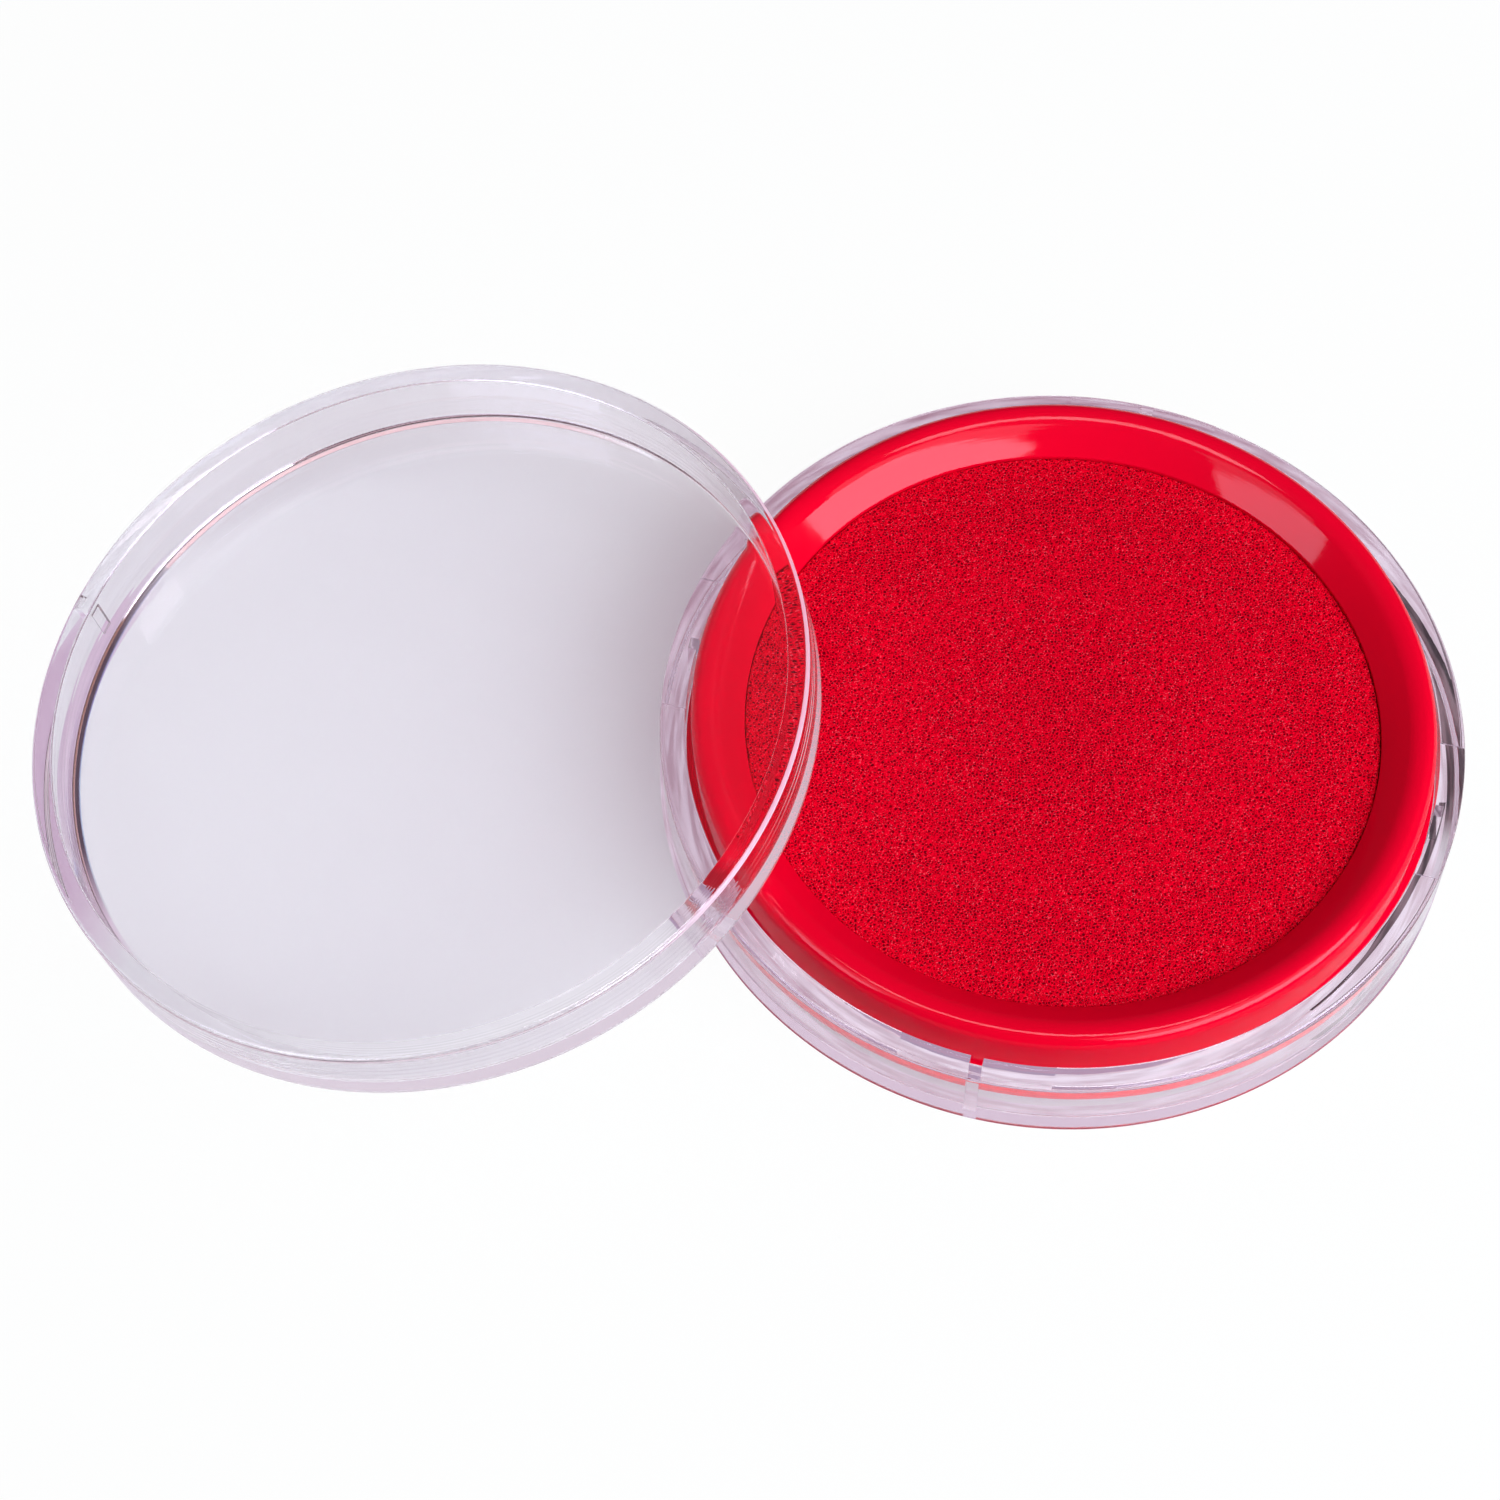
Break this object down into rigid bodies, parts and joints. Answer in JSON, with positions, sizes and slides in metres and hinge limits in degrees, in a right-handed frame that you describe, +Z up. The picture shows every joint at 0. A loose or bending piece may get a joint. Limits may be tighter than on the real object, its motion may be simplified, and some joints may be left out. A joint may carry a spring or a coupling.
{
  "type": "seal paste box",
  "caption": "Round clear plastic box holding a red tray with an inked foam pad for seals; its clear lid is off and leans on the tray's rim.",
  "frame": {"origin": "centre of the base's underside, on the table", "axes": "+Z up, through the middle of the base and its tray; +X from the lid towards the base, along the longest side; +Y away from the front"},
  "size_m": [0.1542, 0.0864, 0.0248],
  "materials": {
    "clear_plastic": "clear moulded polystyrene, polished",
    "red_plastic": "gloss moulded plastic",
    "inked_core": "felt-like foam soaked with red ink",
    "inked_face": "fine-pored foam, damp with red ink"
  },
  "bodies": {
    "base": {"base_shell": "clear_plastic", "ink_tray": "red_plastic", "foam_core": "inked_core", "foam_face": "inked_face"},
    "lid": {"lid": "clear_plastic"}
  },
  "joints": [
    {"name": "lid_lift", "type": "slide", "parent": "base", "child": "lid", "axis": [0, 0, 1], "range_m": [0, 0.06]}
  ]
}
